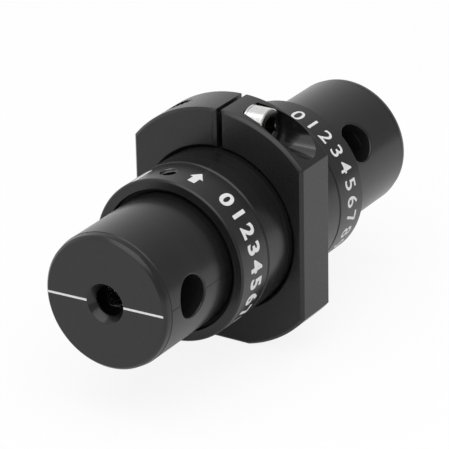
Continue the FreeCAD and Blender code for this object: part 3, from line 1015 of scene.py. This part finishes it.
for number in range(10):
    turn = FIGURE_STEP * number
    print_on(figure(str(number), FIGURE_HEIGHT, INPUT_BOLDNESS), f"input_figure_{number}",
             FIRST_INPUT_ANGLE - turn, -FIGURE_PLACE)
    print_on(figure(str(number), FIGURE_HEIGHT, OUTPUT_BOLDNESS), f"output_figure_{number}",
             FIRST_OUTPUT_ANGLE - turn, FIGURE_PLACE)
print_on(arrow(), "light_arrow", ARROW_ANGLE, ARROW_PLACE)
print_on(strip_mark(INDEX_WIDTH, INDEX_LENGTH), "index_line", INDEX_ANGLE, INDEX_PLACE)

# %% [markdown]
# ## The hidden pieces
#
# The magnets, shims, crystal and its sleeve sit inside the tube. They keep the model's own shapes, which are
# right as they are, and only get finishes of their own.

# %% Finishes of the carried-over nodes
HIDDEN = {
    "input_magnet": nickel, "centre_magnet": nickel, "output_magnet": nickel, "magnet_shims": steel,
    "crystal_sleeve": brass, "rotator_crystal": crystal_glass, "crystal_spacers": turned_black,
}
for node, material in HIDDEN.items():
    slots = frame["nodes"][node].data.materials
    slots.clear()
    slots.append(material)
print("finished in place:", sorted(HIDDEN))

# %% [markdown]
# ## Floor, light and camera
#
# A black glossy thing shows its surroundings more than its own colour, so the light is built for what it
# reflects. The floor is white and the room behind the camera is a soft light grey. The floor and the world
# show white to the camera, and the floor keeps the object's shadow. In reflections the floor shows more of
# its lit paper and less of its own even white, so that the shaded floor under the object looks dark there.

# %% Floor and world
FLOOR_SIZE = 0.9
FLOOR_DROP = 0.02 * MM
SHARE_SEEN = 0.88
SHARE_REFLECTED = 0.25
DARKER_SIDE = (0.93, 0.1, 0.36)
DARKEST_REFLECTED = 0.38
ROOM_LIGHT = 0.52


def either(tree, first, second):
    """The larger of two values."""
    larger = add_node(tree, "Math", operation="MAXIMUM")
    tree.links.new(first, larger.inputs[0])
    tree.links.new(second, larger.inputs[1])
    return larger.outputs[0]


def own_white(tree):
    """Share of its own even white that the floor shows the camera, also through glass, and in reflections."""
    path = add_node(tree, "LightPath")
    shares = []
    for ray, share in (("Is Camera Ray", SHARE_SEEN), ("Is Transmission Ray", SHARE_SEEN),
                       ("Is Glossy Ray", SHARE_REFLECTED)):
        scaled = add_node(tree, "Math", operation="MULTIPLY")
        scaled.inputs[1].default_value = share
        tree.links.new(path.outputs[ray], scaled.inputs[0])
        shares.append(scaled.outputs[0])
    return either(tree, either(tree, shares[0], shares[1]), shares[2])


def floor_finish():
    """White paper: what is seen of it is partly its own even white, so that shadows on it stay faint."""
    material, tree, shader = new_finish("paper", (0.96, 0.96, 0.96), 0)
    shader.inputs["Roughness"].default_value = 0.9
    shader.inputs["Specular IOR Level"].default_value = 0
    white = add_node(tree, "Emission", Strength=1.0)
    mix = add_node(tree, "MixShader")
    output = tree.nodes["Material Output"]
    tree.links.new(own_white(tree), mix.inputs[0])
    tree.links.new(shader.outputs[0], mix.inputs[1])
    tree.links.new(white.outputs[0], mix.inputs[2])
    tree.links.new(mix.outputs[0], output.inputs["Surface"])
    return material


def floor():
    """Plain sheet under the ring's bottom flat."""
    sheet = bmesh.new()
    bmesh.ops.create_grid(sheet, x_segments=1, y_segments=1, size=FLOOR_SIZE / 2)
    bmesh.ops.translate(sheet, vec=(0, 0, -FLOOR_DROP), verts=sheet.verts)
    mesh = bpy.data.meshes.new("floor")
    sheet.to_mesh(mesh)
    sheet.free()
    piece = bpy.data.objects.new("floor", mesh)
    bpy.context.scene.collection.objects.link(piece)
    mesh.materials.append(floor_finish())


def room():
    """World that is white to the camera, graded in reflections, and soft grey as light."""
    world = bpy.data.worlds.new("room")
    bpy.context.scene.world = world
    world.use_nodes = True
    tree = world.node_tree
    tree.nodes.clear()
    path = add_node(tree, "LightPath")
    place = add_node(tree, "TexCoord")
    side = add_node(tree, "VectorMath", operation="DOT_PRODUCT")
    side.inputs[1].default_value = DARKER_SIDE
    grade = add_node(tree, "MapRange")
    grade.inputs["From Min"].default_value = -0.6
    grade.inputs["From Max"].default_value = 0.75
    grade.inputs["To Min"].default_value = 1.0
    grade.inputs["To Max"].default_value = DARKEST_REFLECTED
    white = add_node(tree, "Background", Strength=1.0)
    graded = add_node(tree, "Background")
    light = add_node(tree, "Background", Strength=ROOM_LIGHT)
    for shade in (white, graded, light):
        shade.inputs["Color"].default_value = (1, 1, 1, 1)
    reflected = add_node(tree, "MixShader")
    direct = add_node(tree, "MixShader")
    output = add_node(tree, "OutputWorld")
    tree.links.new(place.outputs["Generated"], side.inputs[0])
    tree.links.new(side.outputs["Value"], grade.inputs["Value"])
    tree.links.new(grade.outputs["Result"], graded.inputs["Strength"])
    tree.links.new(path.outputs["Is Glossy Ray"], reflected.inputs[0])
    tree.links.new(light.outputs[0], reflected.inputs[1])
    tree.links.new(graded.outputs[0], reflected.inputs[2])
    straight = either(tree, path.outputs["Is Camera Ray"], path.outputs["Is Transmission Ray"])
    tree.links.new(straight, direct.inputs[0])
    tree.links.new(reflected.outputs[0], direct.inputs[1])
    tree.links.new(white.outputs[0], direct.inputs[2])
    tree.links.new(direct.outputs[0], output.inputs["Surface"])


floor()
room()

# %% Lamps
def softbox(name, place, target, size, radiance):
    """Square soft lamp of an even brightness that looks at a target, and that the camera doesn't see."""
    lamp = bpy.data.lights.new(name, "AREA")
    lamp.shape = "SQUARE"
    lamp.size = size
    lamp.energy = math.pi * size ** 2 * radiance
    holder = bpy.data.objects.new(name, lamp)
    bpy.context.scene.collection.objects.link(holder)
    holder.location = place
    holder.rotation_euler = (Vector(target) - Vector(place)).to_track_quat("-Z", "Y").to_euler()
    holder.visible_camera = False
    return holder


SOFTBOX_PLACE = (0.12, -0.24, 0.68)
SOFTBOX_TARGET = (0, 0, 0.02)
SOFTBOX_SIZE = 0.9
SOFTBOX_RADIANCE = 1.7
softbox("overhead_softbox", SOFTBOX_PLACE, SOFTBOX_TARGET, SOFTBOX_SIZE, SOFTBOX_RADIANCE)

# %% [markdown]
# The camera stands in front of the input end, a little to the right and above, with a long lens from about
# half a metre, which is how small parts are usually shot. Its three directions were worked out from the
# photograph, so the matrix is written from them.

# %% Camera
CAMERA_PLACE = (262.85, -419.15, 241.84)
CAMERA_RIGHT = (0.85003, 0.52640, -0.01884)
CAMERA_UP = (-0.20027, 0.35606, 0.91275)
LENS = 241.63

lens = bpy.data.cameras.new("camera")
lens.lens = LENS
lens.sensor_width = 36
lens.clip_start = 0.05
camera = bpy.data.objects.new("camera", lens)
bpy.context.scene.collection.objects.link(camera)
right, up = Vector(CAMERA_RIGHT).normalized(), Vector(CAMERA_UP).normalized()
turn = Matrix((right, up, right.cross(up))).transposed().to_4x4()
camera.matrix_world = Matrix.Translation(Vector(CAMERA_PLACE) * MM) @ turn
bpy.context.scene.camera = camera
bpy.context.scene.view_settings.view_transform = "Standard"
print("camera at", [round(value, 3) for value in camera.location])
